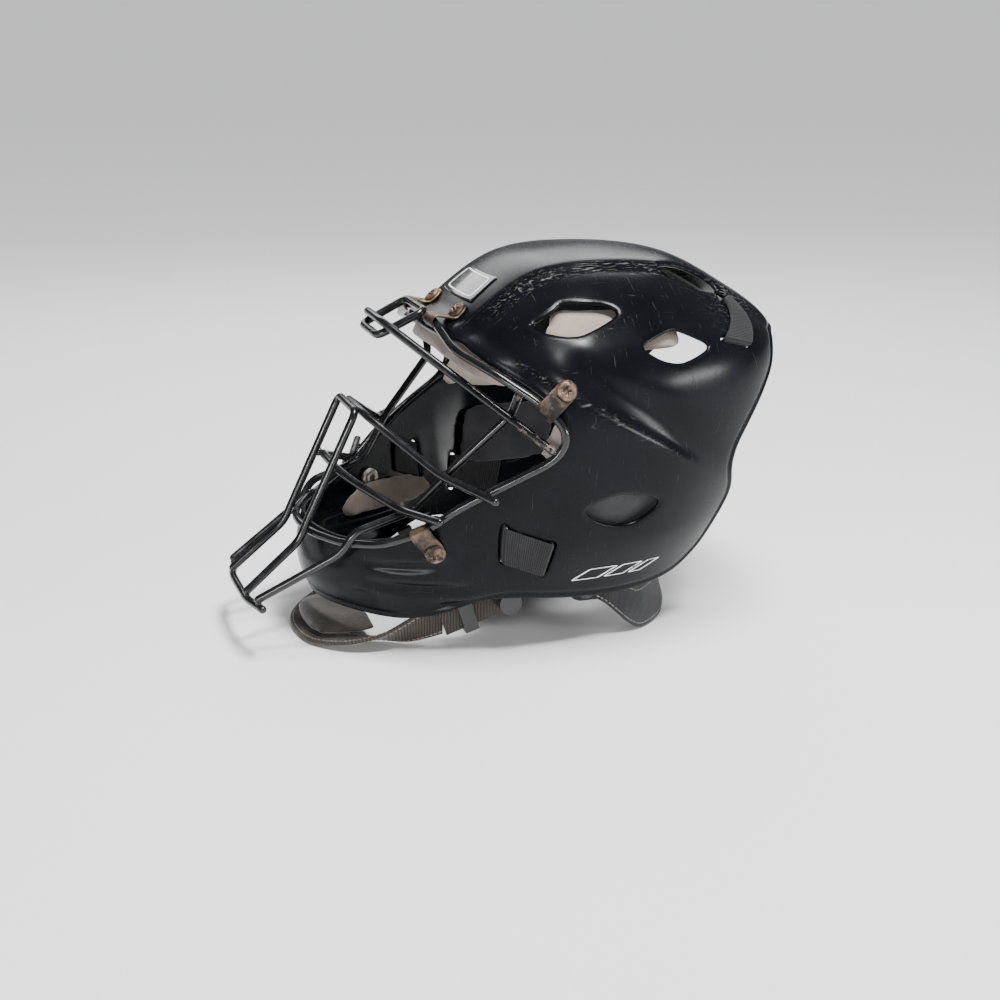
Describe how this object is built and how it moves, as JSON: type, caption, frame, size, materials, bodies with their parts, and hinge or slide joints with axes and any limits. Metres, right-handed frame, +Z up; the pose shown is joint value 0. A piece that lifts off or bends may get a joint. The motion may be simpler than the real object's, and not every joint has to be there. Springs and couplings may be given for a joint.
{
  "type": "goalie mask",
  "caption": "Ice hockey goalie mask: glossy moulded shell with a removable welded wire cage, foam liner, elastic straps, swinging neck band and chin sling",
  "frame": {"origin": "Centre of the bounding box in plan, on the surface the mask stands on", "axes": "+Z is up, the mask faces -Y, +X is the wearer's left; X = 0 is the plane of symmetry"},
  "size_m": [0.2346, 0.3447, 0.2338],
  "materials": {
    "shell_black": "gloss",
    "badge_grey": "gloss",
    "cage_black": "gloss",
    "clip_rusty": "rusted",
    "clip_brass": "tarnished",
    "screw_rusty": "rusted",
    "nut_zinc": "satin",
    "foam_tan": "matte",
    "foam_white": "matte",
    "foam_brown": "matte",
    "liner_black": "matte",
    "fitting_black": "satin",
    "band_grey": "matte",
    "webbing_grey": "matte",
    "webbing_brown": "matte",
    "cup_tan": "matte"
  },
  "bodies": {
    "mask": {"shell": "shell_black", "forehead_badge": "badge_grey", "cage_rim_wire": "cage_black", "cage_top_ring": "cage_black", "cage_brow_bar": "cage_black", "cage_cheek_bar": "cage_black", "cage_mouth_bar": "cage_black", "cage_centre_loop": "cage_black", "cage_left_upright": "cage_black", "cage_right_upright": "cage_black", "cage_throat_wire": "cage_black", "forehead_clip_left": "clip_rusty", "forehead_clip_right": "clip_brass", "temple_clip_left": "clip_rusty", "temple_clip_right": "clip_rusty", "cheek_clip_left": "clip_rusty", "cheek_clip_right": "clip_rusty", "clip_screws": "screw_rusty", "clip_nuts": "nut_zinc", "brow_pad": "foam_tan", "sweatband": "liner_black", "crown_pad": "foam_tan", "side_pad_left": "foam_tan", "side_pad_right": "foam_tan", "temple_pad_left": "foam_white", "temple_pad_right": "foam_white", "cheek_pad_left": "foam_brown", "cheek_pad_right": "foam_brown", "ear_liner_left": "liner_black", "ear_liner_right": "liner_black", "cheek_strap_left": "webbing_grey", "cheek_strap_right": "webbing_grey", "rear_strap_left": "webbing_grey", "rear_strap_right": "webbing_grey", "jaw_studs": "fitting_black", "neck_studs": "fitting_black"},
    "neck_band_body": {"neck_band": "band_grey", "neck_tab_left": "band_grey", "neck_tab_right": "band_grey"},
    "chin_sling": {"chin_tab_left": "webbing_brown", "chin_tab_right": "webbing_brown", "chin_webbing": "webbing_brown", "chin_cup": "cup_tan"},
    "slider_left": {"chin_slider_left": "fitting_black"},
    "slider_right": {"chin_slider_right": "fitting_black"}
  },
  "joints": [
    {"name": "neck_band_swing", "type": "hinge", "parent": "mask", "child": "neck_band_body", "pos_m": [0, 0.028, 0.038], "axis": [1, 0, 0], "range_deg": [-20, 20]},
    {"name": "chin_sling_swing", "type": "hinge", "parent": "mask", "child": "chin_sling", "pos_m": [0, -0.02, 0.032], "axis": [1, 0, 0], "range_deg": [0, 65]},
    {"name": "chin_slider_left_slide", "type": "slide", "parent": "chin_sling", "child": "slider_left", "axis": [0, -0.9563, -0.2924], "range_m": [-0.007, 0.006]},
    {"name": "chin_slider_right_slide", "type": "slide", "parent": "chin_sling", "child": "slider_right", "axis": [0, -0.9563, -0.2924], "range_m": [-0.007, 0.006]}
  ]
}
